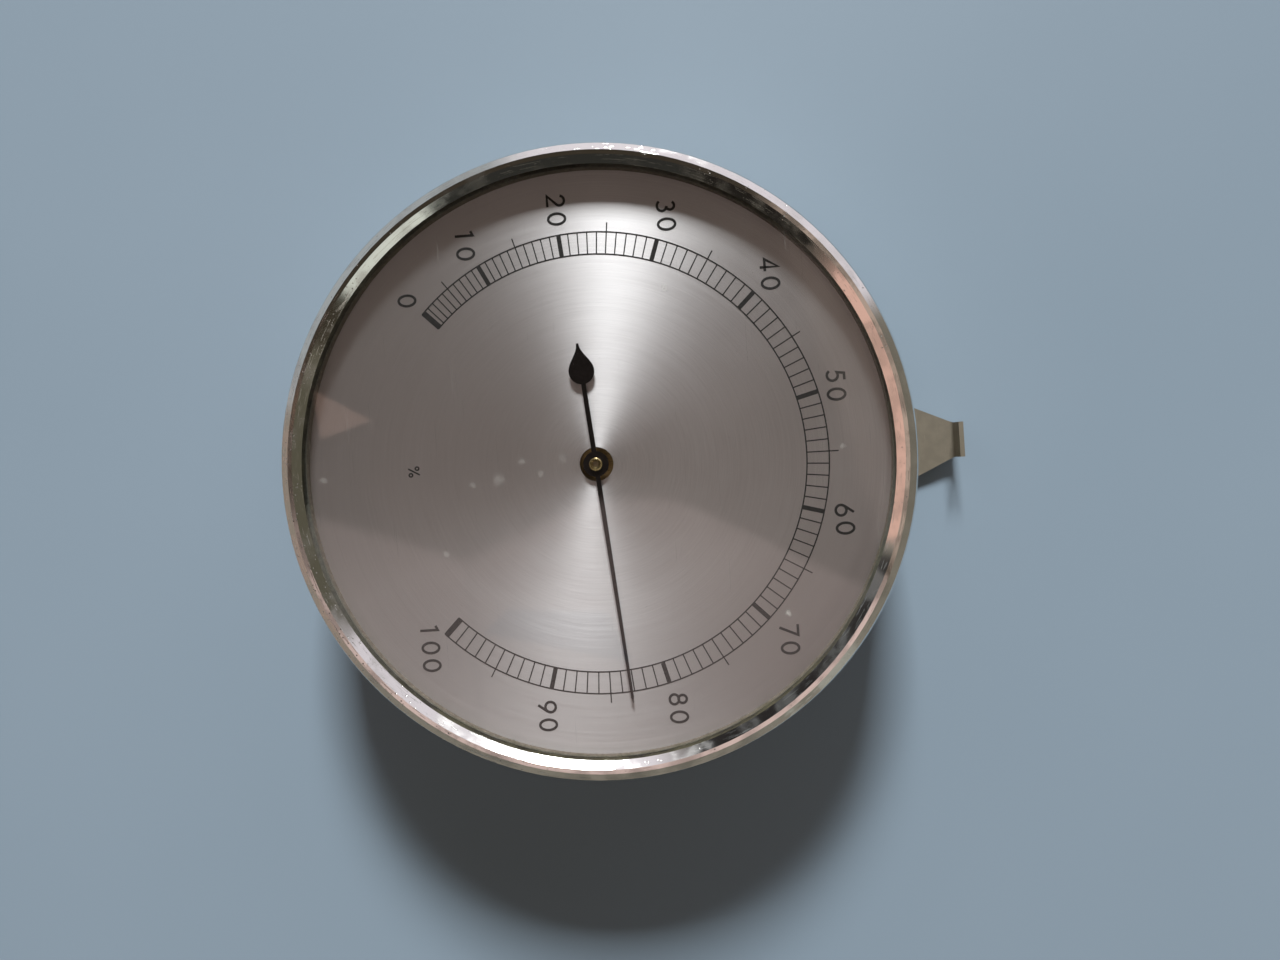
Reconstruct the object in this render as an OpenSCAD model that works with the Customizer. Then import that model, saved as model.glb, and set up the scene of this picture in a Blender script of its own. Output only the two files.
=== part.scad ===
// Round wall hygrometer with a hair element, lying on its back.
// +Z is out of the dial, +Y is twelve o'clock, and the pointer turns about the Z axis.
// The origin is on that axis, in the flat face of the case back.

/* [Overall] */
// Outside radius of the bezel
bezel_r = 51.75; // [50:0.25:65]
// Height from the case back to the ridge of the bezel
depth = 25.5; // [25:0.5:42]

/* [Case] */
// Wall of the drawn case
sheet_t = 0.8; // [0.6:0.1:1]
// Outside radius of the rear pan
pan_r = 40; // [38:0.5:41]
// Height of the rear pan, up to the shoulder
pan_h = 5.5; // [5:0.5:6.5]
// Radius of the case's rounded edges
case_edge_r = 3; // [1.5:0.5:4]
// Number of vent slots in the outer ring
vents_outer = 8; // [6:1:10]
// Number of vent slots in the inner ring
vents_inner = 5; // [4:1:6]
// Width of a vent slot
vent_w = 2.2; // [1.5:0.1:3]

/* [Bezel and crystal] */
// Sheet of the spun bezel
bezel_t = 0.8; // [0.6:0.1:1]
// Radial width of the whole bezel ring, seen from the front
bezel_w = 3.7; // [3.4:0.05:5]
// Height of the sloping outer lip
lip_h = 3; // [2.6:0.1:4]
// Radial width of the sloping outer lip
lip_w = 1.8; // [1.5:0.05:2]
// Height of the inner slope
slope_h = 1.1; // [0.9:0.1:1.5]
// Radial width of the inner slope
slope_w = 1.2; // [0.9:0.05:1.5]
// Length of the straight skirt over the case
skirt_h = 9.5; // [6:0.5:12]
// Thickness of the crystal
crystal_t = 1.5; // [1.5:0.1:2.5]
// Thickness of the crystal gasket
gasket_t = 0.4; // [0.4:0.1:1]
// Height of the spacer ring between dial and gasket
spacer_h = 1.4; // [1.4:0.1:2.6]

/* [Dial and pointer] */
// Thickness of the dial plate
dial_t = 0.5; // [0.4:0.1:0.8]
// Radius of the centre hole in the dial
dial_hole_r = 2.8; // [2.4:0.1:4]
// Clear width between the pointer's tip and the edge of the opening
tip_margin = 8.25; // [5:0.25:15]
// Pointer angle at rest, clockwise from twelve o'clock
reading_angle = 85; // [60:1:110]
// Thickness of the pointer sheet
pointer_t = 0.3; // [0.2:0.05:0.4]
// Distance from the arbor to the middle of the counterweight drop
drop_at = 15.3; // [12:0.1:20]
// Radius of the counterweight drop
drop_r = 2.1; // [1.5:0.1:3]
// Distance from the arbor to the point of the drop
drop_tip = 19.9; // [18:0.1:26]

/* [Movement] */
// Thickness of the mainplate
plate_t = 1.2; // [1:0.1:1.5]
// Length of the pillars between mainplate and bridge
pillar_h = 8.5; // [8.2:0.1:9.5]
// Thickness of the bridge
bridge_t = 1; // [0.8:0.1:1.5]
// Gear module
gear_m = 0.4; // [0.36:0.01:0.48]
// Teeth on the pinion
pinion_teeth = 12; // [11:1:13]
// Teeth that the sector would have as a whole wheel
sector_teeth = 120; // [110:1:122]
// Turns of the hairspring
spring_turns = 6.5; // [4.5:1:7.5]
// Outer radius of the hairspring
spring_r = 9; // [8:0.25:10]
// Height of the hairspring strip
spring_h = 1; // [0.6:0.1:1.2]

/* [Hair element] */
// Radius of the hair bundle
hair_r = 0.4; // [0.3:0.05:0.5]
// Distance from the sector arbor to the crank pin
crank_len = 3; // [2.8:0.1:3.6]
// Place of the upper hair anchor along Y
anchor_y = 30; // [26:0.5:30]
// Distance from the anchor pin to the lever's pivot
lever_arm = 10; // [9:0.5:12]
// Distance from the lever's pivot to the adjusting screw
lever_tail = 14; // [12:0.5:14.5]
// Offset of the adjusting screw's cam
cam_throw = 0.8; // [0.5:0.1:0.9]

/* [Hanger] */
// Thickness of the hanger sheet
hanger_t = 0.8; // [0.6:0.1:1]
// Half width of the hanger where it leaves the case
hanger_root = 9.4; // [8:0.2:11]
// Half width of the hanger's tip
hanger_tip = 3.1; // [2:0.1:4]
// Length that the hanger stands out past the case wall
hanger_reach = 13; // [11:0.25:17]
// Height of the turned-up tip
hanger_lip = 6.2; // [4:0.2:8]
// Rise of the hanger from the case to its tip
hanger_rise = 1.2; // [0.4:0.2:2]

/* [Clearances] */
// Radial gap of a pivot in its bush
run_gap = 0.05; // [0.02:0.01:0.08]
// End play of a turning piece
end_gap = 0.05; // [0.04:0.01:0.1]
// Radial gap of a disc or ring laid in the case
drop_gap = 0.2; // [0.1:0.05:0.3]
// Gap between the bezel's skirt and the case
skirt_gap = 0.1; // [0.05:0.05:0.2]

/* [Hidden] */
$fn = 96;
// How far a cutting solid runs past what it cuts
cut = 0.1;
// A straight side lies this much inside its round end, so that the two cross at a clean edge
inside = 0.01;

// Heights, from the back up
plate_z = pan_h + sheet_t;
plate_top = plate_z + plate_t;
bridge_z = plate_top + pillar_h;
bridge_top = bridge_z + bridge_t;
crystal_top = depth - slope_h;
crystal_z = crystal_top - crystal_t;
gasket_z = crystal_z - gasket_t;
spacer_z = gasket_z - spacer_h;
dial_z = spacer_z - dial_t;
pointer_z = spacer_z + 0.7;
lip_z = depth - lip_h;
rim_z = crystal_z + 0.1;

// Radii of the case and of what lies in it
case_r = bezel_r - bezel_t - skirt_gap;
bore_r = case_r - sheet_t;
opening_r = bezel_r - bezel_w;
disc_r = bore_r - drop_gap;
shoulder_edge_r = 1.5;
plate_r = case_r - shoulder_edge_r - drop_gap / 2;
ring_w = 1.9;
bead_d = 1.4;
shoulder_screw_r = (pan_r + case_r) / 2;
lip_drop = 0.65;
lip_roll_w = 1.1;
lip_roll_end = 63;
hanger_from = pan_r + 1;
hanger_low = 0.3;
hanger_bend_r = 1.5;
vent_outer_r = 25;
vent_outer_half = 14;
vent_inner_r = 17;
vent_inner_half = 22;
adjuster_hole_r = 3.2;
window_in_r = 19;
window_out_r = pan_r - 3;
slot_r = 30;
slot_w = 5;

// Slots that a screwdriver takes
driver_w = 0.6;
driver_d = 0.6;

// Plate pivots and bushes
pivot_r = 0.6;
bush_r = 1.6;
flange_r = 2.4;
flange_t = 0.6;
arbor_r = 1.1;
journal_r = 0.8;
sector_shaft_r = 1.2;
sector_journal_r = 0.9;

// Gears
pressure = 25;
addendum = 0.8 * gear_m;
dedendum = 1.05 * gear_m;
backlash = 0.05;
mesh_gap = 0.03;
pinion_pitch_r = gear_m * pinion_teeth / 2;
sector_pitch_r = gear_m * sector_teeth / 2;
sector_step = 360 / sector_teeth;
teeth_before = 4;
teeth_after = 10;
sector_dir = 245;
sector_dist = pinion_pitch_r + sector_pitch_r + mesh_gap;
sector_x = sector_dist * cos(sector_dir);
sector_y = sector_dist * sin(sector_dir);
gear_z = plate_top + 0.35 * pillar_h;
sector_t = 1;
sector_rim_w = 2.6;
sector_hub_r = 4;
sector_arm_w = 2.4;
pinion_h = 3;

// Hairspring
spring_z = bridge_z - 3;
spring_t = 0.25;
spring_stations = 32;
collet_r = 1.9;
collet_h = 1.6;
stud_w = 1.2;
stud_rivet_r = 0.5;
stud_dir = 88;

// Crank, hair and calibration lever, all behind the mainplate
lever_t = 1;
lever_z = plate_z - 0.8 - lever_t;
hair_z = lever_z - 1;
eye_t = 1;
eye_r = 1.3;
ferrule_at = 1.15;
hair_pin_r = 0.6;
ferrule_r = 0.75;
ferrule_len = 6;
hair_grip = 3;
crank_w = 2.8;
crank_hub_r = 2.4;
lever_w = 4;
lever_hub_r = 3.2;
crank_dir = 188.5;
crank_x = sector_x + crank_len * cos(crank_dir);
crank_y = sector_y + crank_len * sin(crank_dir);
stud_x = crank_x + lever_arm;
cam_x = stud_x + lever_tail;
lever_pin_r = 1.5;
cam_r = 1.6;
cam_gap = 0.06;
cam_shank_r = 2;
adjuster_head_r = 2.8;
adjuster_flange_r = 2.6;
adjuster_end_r = 2.7;
washer_r = 3.4;
washer_t = 0.3;

// Bridge pillars and their screws: two beside the sector's axis and one past the arbor
PILLARS = [[sector_x - 10.8, sector_y + 2], [sector_x + 23.2, sector_y + 2], [1, 15]];
pillar_r = 2.4;
screw_r = 1;
screw_head_r = 2;
screw_head_h = 1.3;
bridge_w = 9;

// Case screws, on the shoulder
case_screw_angles = [30, 150, 270];
case_screw_r = 1.2;
nut_r = 2.5;
nut_h = 1.8;
rivet_x = 5;
rivet_y = pan_r + 3.1;
rivet_r = 1.2;
rivet_head_r = 2.1;
rivet_head_h = 0.8;
rivet_set_r = 1.9;
rivet_set_h = 0.5;

// Pointer, its disc and its bush
pointer_disc_r = 2.1;
pointer_bush_r = 1.08;
pointer_seat_r = 0.5;
pointer_root_w = 0.8;
pointer_end_w = 0.44;

// Points of an arc, counted so that the two ends are included
function arc(x, y, r, from, to, steps = 8) =
    [for (i = [0:steps]) let (a = from + (to - from) * i / steps) [x + r * cos(a), y + r * sin(a)]];

// Points of a quarter ellipse from the side to the top
function quarter(x, y, rx, ry, steps = 8) =
    [for (i = [0:steps]) [x + rx * cos(90 * i / steps), y + ry * sin(90 * i / steps)]];

function reversed(list) = [for (i = [len(list) - 1:-1:0]) list[i]];

function turn(p, a) = [p[0] * cos(a) - p[1] * sin(a), p[0] * sin(a) + p[1] * cos(a)];

// Involute flank: half of the tooth's angle at radius r on a gear of n teeth
function flank_angle(n, r) =
    let (
        pitch = gear_m * n / 2,
        base = pitch * cos(pressure),
        at_pitch = 90 / n - backlash / 2 / pitch * 180 / PI,
        spread = tan(pressure) * 180 / PI - pressure,
        a = r > base ? acos(base / r) : 0
    )
    at_pitch + spread - (tan(a) * 180 / PI - a);

// One tooth pointing along +X, from the root circle out to its tip and back
function tooth(n, root, tip, steps = 5) =
    let (side = [for (i = [0:steps])
        let (r = root + (tip - root) * i / steps) [r * cos(flank_angle(n, r)), r * sin(flank_angle(n, r))]])
    concat([for (p = side) [p[0], -p[1]]], reversed(side));

module disc(r, z, h) {
    translate([0, 0, z]) cylinder(r = r, h = h);
}

module at(x, y) {
    translate([x, y, 0]) children();
}

// Bar with round ends between two points
module bar(a, b, w, z, h) {
    d = b - a;
    translate([a[0], a[1], z]) {
        cylinder(d = w, h = h);
        rotate([0, 0, atan2(d[1], d[0])])
            translate([0, inside - w / 2, 0]) cube([norm(d), w - 2 * inside, h]);
        translate([d[0], d[1], 0]) cylinder(d = w, h = h);
    }
}

// Slot along an arc, with round ends
module arc_slot(r, w, from, to, z, h) {
    translate([0, 0, z]) {
        rotate([0, 0, from]) rotate_extrude(angle = to - from)
            translate([r - w / 2 + inside, 0]) square([w - 2 * inside, h]);
        for (a = [from, to]) translate([r * cos(a), r * sin(a), 0]) cylinder(d = w, h = h);
    }
}

module ring(r_in, r_out, z, h) {
    rotate_extrude() translate([r_in, z]) square([r_out - r_in, h]);
}

module driver_slot(z, w, h) {
    translate([-5, -w / 2, z]) cube([10, w, h]);
}

// Screw with a slotted cheese head below z, its shank running up
module screw_from_below(r, length, z) {
    difference() {
        union() {
            disc(screw_head_r + r - screw_r, z - screw_head_h, screw_head_h);
            disc(r, z, length);
        }
        driver_slot(z - screw_head_h - cut, driver_w, driver_d + cut);
    }
}

module screw_from_above(r, length, z) {
    difference() {
        union() {
            disc(screw_head_r + r - screw_r, z, screw_head_h);
            disc(r, z - length, length);
        }
        driver_slot(z + screw_head_h - driver_d, driver_w, driver_d + cut);
    }
}

// Flanged bush pressed in a plate; the flange is above the plate or below it
module bush(hole_r, z, t, flange_above) {
    flange_z = flange_above ? z + t : z - flange_t;
    difference() {
        union() {
            disc(bush_r, z, t);
            disc(flange_r, flange_z, flange_t);
        }
        disc(hole_r, z - 2, t + 4);
    }
}

// Section of the drawn case: pan, shoulder, wall, rolled bead that carries the dial, and rim
function case_outline() =
    let (
        t = sheet_t,
        e = case_edge_r,
        f = shoulder_edge_r,
        bead = bead_d,
        under = dial_z - t,
        outer = concat(
            [[0, 0]],
            arc(pan_r - e, e, e, -90, 0),
            [[pan_r, pan_h]],
            arc(case_r - f, pan_h + f, f, -90, 0, 5),
            [[case_r, under - bead - 0.4], [case_r - bead, under - 0.4], [case_r - bead, under]],
            [[case_r, under], [case_r, rim_z]]
        ),
        inner = concat(
            [[0, t]],
            arc(pan_r - e, e, e - t, -90, 0),
            [[pan_r - t, pan_h + t]],
            arc(case_r - f, pan_h + f, f - t, -90, 0, 5),
            [[bore_r, under - bead - 0.7], [bore_r - bead, under - 0.7], [bore_r - bead, dial_z]],
            [[bore_r, dial_z], [bore_r, rim_z]]
        )
    )
    concat(outer, reversed(inner));

module vent(r, middle, half) {
    arc_slot(r, vent_w, middle - half, middle + half, -cut, sheet_t + 2 * cut);
}

module case() {
    color("gray") difference() {
        rotate_extrude() polygon(case_outline());
        for (i = [0:vents_outer - 1]) vent(vent_outer_r, 360 * i / vents_outer, vent_outer_half);
        for (i = [0:vents_inner - 1]) vent(vent_inner_r, 90 + 360 * i / vents_inner, vent_inner_half);
        at(cam_x, anchor_y) disc(adjuster_hole_r, -cut, sheet_t + 2 * cut);
        for (a = case_screw_angles) rotate([0, 0, a]) at(shoulder_screw_r, 0)
            disc(case_screw_r + drop_gap / 2, pan_h - cut, sheet_t + 2 * cut);
        for (x = [-rivet_x, rivet_x]) at(x, rivet_y) disc(rivet_r, pan_h - cut, sheet_t + 2 * cut);
    }
}

// Section of the spun bezel: skirt, rounded edge, sloping lip, narrow ridge, inner slope on to the crystal
function bezel_outline() =
    let (
        t = bezel_t,
        ridge_r = bezel_r - lip_w,
        roll_h = (lip_h - lip_drop) / sin(lip_roll_end),
        outer = concat(
            [[bezel_r, lip_z - skirt_h], [bezel_r, lip_z]],
            [for (a = [9:9:lip_roll_end])
                [bezel_r + lip_roll_w * (cos(a) - 1), lip_z + roll_h * sin(a)]],
            [[ridge_r, depth], [opening_r + slope_w, depth], [opening_r, crystal_top]]
        ),
        inner = concat(
            [[bezel_r - t, lip_z - skirt_h], [bezel_r - t, lip_z - 0.2]],
            quarter(ridge_r, lip_z - 0.2, lip_w - t, lip_h + 0.2 - t),
            [[opening_r + slope_w + 0.4, depth - t], [opening_r + t, crystal_top]]
        )
    )
    concat(outer, reversed(inner));

module bezel() {
    color("silver") rotate_extrude() polygon(bezel_outline());
}

// Flat crystal with its edges ground off
module crystal() {
    b = 0.3;
    color([0.85, 0.92, 0.92, 0.3]) rotate_extrude() polygon([
        [0, crystal_z], [disc_r - b, crystal_z], [disc_r, crystal_z + b],
        [disc_r, crystal_top - b], [disc_r - b, crystal_top], [0, crystal_top]
    ]);
}

module crystal_gasket() {
    color("dimgray") ring(disc_r - ring_w, disc_r, gasket_z, gasket_t);
}

module spacer_ring() {
    color("darkgray") ring(disc_r - ring_w, disc_r, spacer_z, spacer_h);
}

module dial() {
    color("lightgray") ring(dial_hole_r, disc_r, dial_z, dial_t);
}

// Direction of a step, and the side to its left
function unit(step) = step / norm(step);
function left_of(a, b) = let (u = unit(b - a)) [-u[1], u[0]];

// Path with every inner corner rounded over a length on both of its sides
function eased(path, reach, steps = 4) = concat(
    [path[0]],
    [for (i = [1:len(path) - 2])
        let (
            from = path[i] + reach * unit(path[i - 1] - path[i]),
            to = path[i] + reach * unit(path[i + 1] - path[i])
        )
        for (k = [0:steps])
            let (s = k / steps)
            (1 - s) * (1 - s) * from + 2 * s * (1 - s) * path[i] + s * s * to],
    [path[len(path) - 1]]
);

// Points beside a path, at a distance to its left, with mitred corners
function beside(path, away) = [
    for (i = [0:len(path) - 1])
        let (
            before = i > 0 ? left_of(path[i - 1], path[i]) : left_of(path[0], path[1]),
            after = i < len(path) - 1 ? left_of(path[i], path[i + 1]) : before
        )
        path[i] + away * (before + after) / (1 + before * after)
];

// Rear face of the hanger, seen from the side: under the shoulder, down to the wall, out and up
function hanger_path() = eased([
    [hanger_from, pan_h - hanger_t],
    [case_r - 4, pan_h - hanger_t],
    [case_r + 2, hanger_low],
    [case_r + hanger_reach, hanger_low + hanger_rise],
    [case_r + hanger_reach, hanger_lip]
], hanger_bend_r);

// Plan of the hanger, and its side section, cut together
module hanger() {
    tip_y = case_r + hanger_reach - hanger_t;
    past = tip_y + 2;
    color("tan") difference() {
        intersection() {
            translate([0, 0, -depth]) linear_extrude(2 * depth) polygon([
                [-hanger_root, hanger_from], [hanger_root, hanger_from], [hanger_root, case_r - 1],
                [hanger_tip, tip_y], [hanger_tip, past], [-hanger_tip, past],
                [-hanger_tip, tip_y], [-hanger_root, case_r - 1]
            ]);
            rotate([90, 0, 90]) translate([0, 0, -30]) linear_extrude(60)
                polygon(concat(hanger_path(), reversed(beside(hanger_path(), hanger_t))));
        }
        for (x = [-rivet_x, rivet_x]) at(x, rivet_y)
            disc(rivet_r, pan_h - hanger_t - cut, hanger_t + 2 * cut);
    }
}

// Rivets with a low domed head behind the hanger and a flat set head inside the case
module hanger_rivets() {
    rear = pan_h - hanger_t;
    set_top = plate_z + rivet_set_h;
    color("gray") for (x = [-rivet_x, rivet_x]) at(x, rivet_y) {
        rotate_extrude() polygon(concat(
            [[0, rear - rivet_head_h]],
            reversed(quarter(0, rear, rivet_head_r, -rivet_head_h, 6)),
            [[rivet_r, rear], [rivet_r, plate_z], [rivet_set_r, plate_z]],
            [[rivet_set_r, set_top], [0, set_top]]
        ));
    }
}

module case_screws() {
    color("gray") for (a = case_screw_angles) rotate([0, 0, a]) at(shoulder_screw_r, 0)
        screw_from_below(case_screw_r, sheet_t + plate_t + nut_h + 0.6, pan_h);
}

module case_nuts() {
    color("gray") for (a = case_screw_angles) rotate([0, 0, a]) at(shoulder_screw_r, 0) difference() {
        translate([0, 0, plate_top]) cylinder(r = nut_r, h = nut_h, $fn = 6);
        disc(case_screw_r, plate_top - cut, nut_h + 2 * cut);
    }
}

// Window in the mainplate between two radii and two angles
module plate_window(from, to) {
    rotate([0, 0, from]) rotate_extrude(angle = to - from)
        translate([window_in_r, plate_z - cut]) square([window_out_r - window_in_r, plate_t + 2 * cut]);
}

module mainplate() {
    notch_w = 2 * hanger_root - 2;
    notch_h = plate_t + 2 * cut;
    color("goldenrod") difference() {
        disc(plate_r, plate_z, plate_t);
        plate_window(-52, 55);
        plate_window(130, 213);
        arc_slot(slot_r, slot_w, 263, 276, plate_z - cut, plate_t + 2 * cut);
        for (a = case_screw_angles) rotate([0, 0, a]) at(shoulder_screw_r, 0)
            disc(case_screw_r + drop_gap / 2, plate_z - cut, plate_t + 2 * cut);
        translate([-notch_w / 2, rivet_y - 3, plate_z - cut]) cube([notch_w, 20, notch_h]);
        for (p = PILLARS) at(p[0], p[1]) disc(screw_r + run_gap, plate_z - cut, plate_t + 2 * cut);
        disc(bush_r, plate_z - cut, plate_t + 2 * cut);
        at(sector_x, sector_y) disc(bush_r, plate_z - cut, plate_t + 2 * cut);
        at(stud_x, anchor_y) disc(lever_pin_r, plate_z - cut, plate_t + 2 * cut);
        at(cam_x, anchor_y) disc(cam_shank_r + run_gap, plate_z - cut, plate_t + 2 * cut);
    }
}

// Turned pillars with a waist, drilled from both ends
module pillars() {
    h = pillar_h;
    waist_r = pillar_r - 0.6;
    bore_h = 3.5;
    color("goldenrod") for (p = PILLARS) at(p[0], p[1]) difference() {
        rotate_extrude() translate([0, plate_top]) polygon([
            [0, 0], [pillar_r, 0], [pillar_r, 1.6], [waist_r, 2.2],
            [waist_r, h - 2.2], [pillar_r, h - 1.6], [pillar_r, h], [0, h]
        ]);
        disc(screw_r, plate_top - cut, bore_h + cut);
        disc(screw_r, bridge_z - bore_h, bore_h + cut);
    }
}

module pillar_screws() {
    color("silver") for (p = PILLARS) at(p[0], p[1]) screw_from_below(screw_r, plate_t + 3, plate_z);
}

module bridge_screws() {
    color("silver") for (p = PILLARS) at(p[0], p[1]) screw_from_above(screw_r, bridge_t + 3, bridge_top);
}

// Pressed bridge: a cross bar on two pillars, and a stem over the arbor to the third
module bridge() {
    middle = [(PILLARS[0][0] + PILLARS[1][0]) / 2, PILLARS[0][1]];
    color("goldenrod") difference() {
        union() {
            bar(PILLARS[0], PILLARS[1], bridge_w, bridge_z, bridge_t);
            bar(middle + [3, 0], PILLARS[2], bridge_w, bridge_z, bridge_t);
        }
        for (p = PILLARS) at(p[0], p[1]) disc(screw_r + run_gap, bridge_z - cut, bridge_t + 2 * cut);
        disc(bush_r, bridge_z - cut, bridge_t + 2 * cut);
        at(sector_x, sector_y) disc(bush_r, bridge_z - cut, bridge_t + 2 * cut);
        rotate([0, 0, stud_dir]) at(spring_r + stud_w / 2, 0)
            disc(stud_rivet_r, bridge_z - cut, bridge_t + 2 * cut);
    }
}

module arbor_rear_bush() {
    color("gold") bush(pivot_r + run_gap, plate_z, plate_t, true);
}

module arbor_front_bush() {
    color("gold") bush(journal_r + run_gap, bridge_z, bridge_t, false);
}

module sector_rear_bush() {
    color("gold") at(sector_x, sector_y) bush(sector_journal_r + run_gap, plate_z, plate_t, true);
}

module sector_front_bush() {
    color("gold") at(sector_x, sector_y) bush(pivot_r + run_gap, bridge_z, bridge_t, false);
}

// Pointer arbor: rear pivot, body, front journal and the thin tip that carries the pointer
module pointer_arbor() {
    low = plate_top + flange_t + end_gap;
    high = bridge_z - flange_t - end_gap;
    foot = plate_z + 0.1;
    top = spacer_z + 1.2;
    color("silver") rotate_extrude() polygon([
        [0, foot], [pivot_r, foot], [pivot_r, low], [arbor_r, low], [arbor_r, high], [journal_r, high],
        [journal_r, spacer_z], [pointer_seat_r, spacer_z], [pointer_seat_r, top], [0, top]
    ]);
}

// Pinion with involute teeth, one tooth pointing at the sector
module pinion() {
    root = pinion_pitch_r - dedendum;
    tip = pinion_pitch_r + addendum;
    outline = [for (i = [0:pinion_teeth - 1], p = tooth(pinion_teeth, root, tip))
        turn(p, sector_dir + 360 * i / pinion_teeth)];
    color("gold") difference() {
        translate([0, 0, gear_z - 1]) linear_extrude(pinion_h) polygon(outline);
        disc(arbor_r, gear_z - 1 - cut, pinion_h + 2 * cut);
    }
}

// Brass bush of the pointer: a flange under the sheet and a tube through it, its end left hollow
module pointer_bush() {
    z = pointer_z;
    color("gold") rotate_extrude() polygon([
        [pointer_seat_r, spacer_z], [0.95, spacer_z], [0.95, z - 0.3], [1.7, z - 0.3], [1.7, z],
        [pointer_bush_r, z], [pointer_bush_r, z + 0.75], [0.85, z + 0.95], [pointer_seat_r, z + 0.85]
    ]);
}

// Outline of the counterweight drop along +X: round near the arbor, drawn out to a point
function drop_outline(steps = 12) =
    let (upper = [for (i = [0:steps]) let (s = i / steps)
        [drop_at + (drop_tip - drop_at) * s, drop_r * (0.5 + 0.5 * cos(180 * s)) + 0.2 * s]])
    concat(arc(drop_at, 0, drop_r, 90, 270, 16), [for (i = [1:steps]) [upper[i][0], -upper[i][1]]],
           reversed(upper));

module pointer() {
    tip_r = opening_r - tip_margin;
    neck = tip_r - 1.2;
    wide = pointer_root_w / 2;
    thin = pointer_end_w / 2;
    tail = wide - 0.04;
    color([0.06, 0.06, 0.06]) rotate([0, 0, 90 - reading_angle]) difference() {
        translate([0, 0, pointer_z]) {
            linear_extrude(pointer_t) polygon([
                [-drop_at, -tail], [0, -wide], [neck, -thin], [tip_r, 0],
                [neck, thin], [0, wide], [-drop_at, tail]
            ]);
            rotate([0, 0, 180]) linear_extrude(pointer_t) polygon(drop_outline());
            cylinder(r = pointer_disc_r, h = pointer_t);
        }
        disc(pointer_bush_r, pointer_z - cut, pointer_t + 2 * cut);
    }
}

// Collet pressed on the arbor, with the saw cut that lets it be turned for setting
module hairspring_collet() {
    color("gold") difference() {
        disc(collet_r, spring_z - 0.3, collet_h);
        disc(arbor_r, spring_z - 1, collet_h + 2);
        rotate([0, 0, 200]) translate([0, -0.15, spring_z - 1]) cube([collet_r + 1, 0.3, collet_h + 2]);
    }
}

// Flat spiral that keeps the hair taut, from the collet out to the stud
module hairspring() {
    steps = round(spring_turns * spring_stations);
    first = collet_r + 0.05;
    function edge(i, out) =
        let (
            a = stud_dir + 360 * spring_turns * (i / steps - 1),
            r = first + out + (spring_r - first - spring_t) * i / steps
        )
        [r * cos(a), r * sin(a)];
    color("gold") translate([0, 0, spring_z]) linear_extrude(spring_h) polygon(concat(
        [for (i = [0:steps]) edge(i, 0)],
        [for (i = [steps:-1:0]) edge(i, spring_t)]
    ));
}

// Square stud riveted in the bridge; the spring's outer end is held at its side
module hairspring_stud() {
    low = spring_z - 0.4;
    color("gold") rotate([0, 0, stud_dir]) translate([spring_r + stud_w / 2, 0, 0]) {
        translate([-stud_w / 2, 0.02, low]) cube([stud_w, stud_w, bridge_z - low]);
        disc(stud_rivet_r, bridge_z, bridge_t);
        disc(stud_rivet_r + 0.4, bridge_top, 0.4);
    }
}

module sector_arbor() {
    foot = lever_z - 0.1;
    low = plate_top + flange_t + end_gap;
    high = bridge_z - flange_t - end_gap;
    color("silver") at(sector_x, sector_y) rotate_extrude() polygon([
        [0, foot], [sector_journal_r, foot], [sector_journal_r, low], [sector_shaft_r, low],
        [sector_shaft_r, high], [pivot_r, high], [pivot_r, bridge_top], [0, bridge_top]
    ]);
}

module sector_collet() {
    h = 1.4;
    color("gold") at(sector_x, sector_y) difference() {
        disc(sector_hub_r - 1.2, gear_z - h, h);
        disc(sector_shaft_r, gear_z - h - cut, h + 2 * cut);
    }
}

// Toothed sector: involute teeth on a rim, two arms and a hub
module sector_gear() {
    to_arbor = sector_dir - 180;
    root = sector_pitch_r - dedendum;
    tip = sector_pitch_r + addendum;
    rim_in = root - sector_rim_w;
    first = to_arbor - (teeth_before + 0.1) * sector_step;
    last = to_arbor + (teeth_after + 0.1) * sector_step;
    color("goldenrod") at(sector_x, sector_y) difference() {
        union() {
            disc(sector_hub_r, gear_z, sector_t);
            rotate([0, 0, first]) rotate_extrude(angle = last - first)
                translate([rim_in, gear_z]) square([root - rim_in + 0.05, sector_t]);
            for (i = [-teeth_before:teeth_after - 1]) rotate([0, 0, to_arbor + (i + 0.5) * sector_step])
                translate([0, 0, gear_z]) linear_extrude(sector_t) polygon(tooth(sector_teeth, root, tip));
            for (a = [first + 3.5, last - 3.5]) rotate([0, 0, a])
                translate([2, -sector_arm_w / 2, gear_z]) cube([rim_in - 1, sector_arm_w, sector_t]);
        }
        disc(sector_shaft_r, gear_z - cut, sector_t + 2 * cut);
    }
}

// Short crank on the rear end of the sector arbor
module hair_crank() {
    color("goldenrod") difference() {
        union() {
            at(sector_x, sector_y) disc(crank_hub_r, lever_z, lever_t);
            bar([sector_x, sector_y], [crank_x, crank_y], crank_w, lever_z, lever_t);
        }
        at(sector_x, sector_y) disc(sector_journal_r, lever_z - cut, lever_t + 2 * cut);
        at(crank_x, crank_y) disc(hair_pin_r, lever_z - cut, lever_t + 2 * cut);
    }
}

// Headed pin, pressed into a lever from behind
module hair_pin() {
    low = hair_z - eye_t / 2 - end_gap;
    head_h = 0.35;
    disc(hair_pin_r + 0.35, low - head_h, head_h);
    disc(hair_pin_r, low, lever_z + lever_t - low);
}

module crank_pin() {
    color("silver") at(crank_x, crank_y) hair_pin();
}

module hair_anchor_pin() {
    color("silver") at(crank_x, anchor_y) hair_pin();
}

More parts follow.
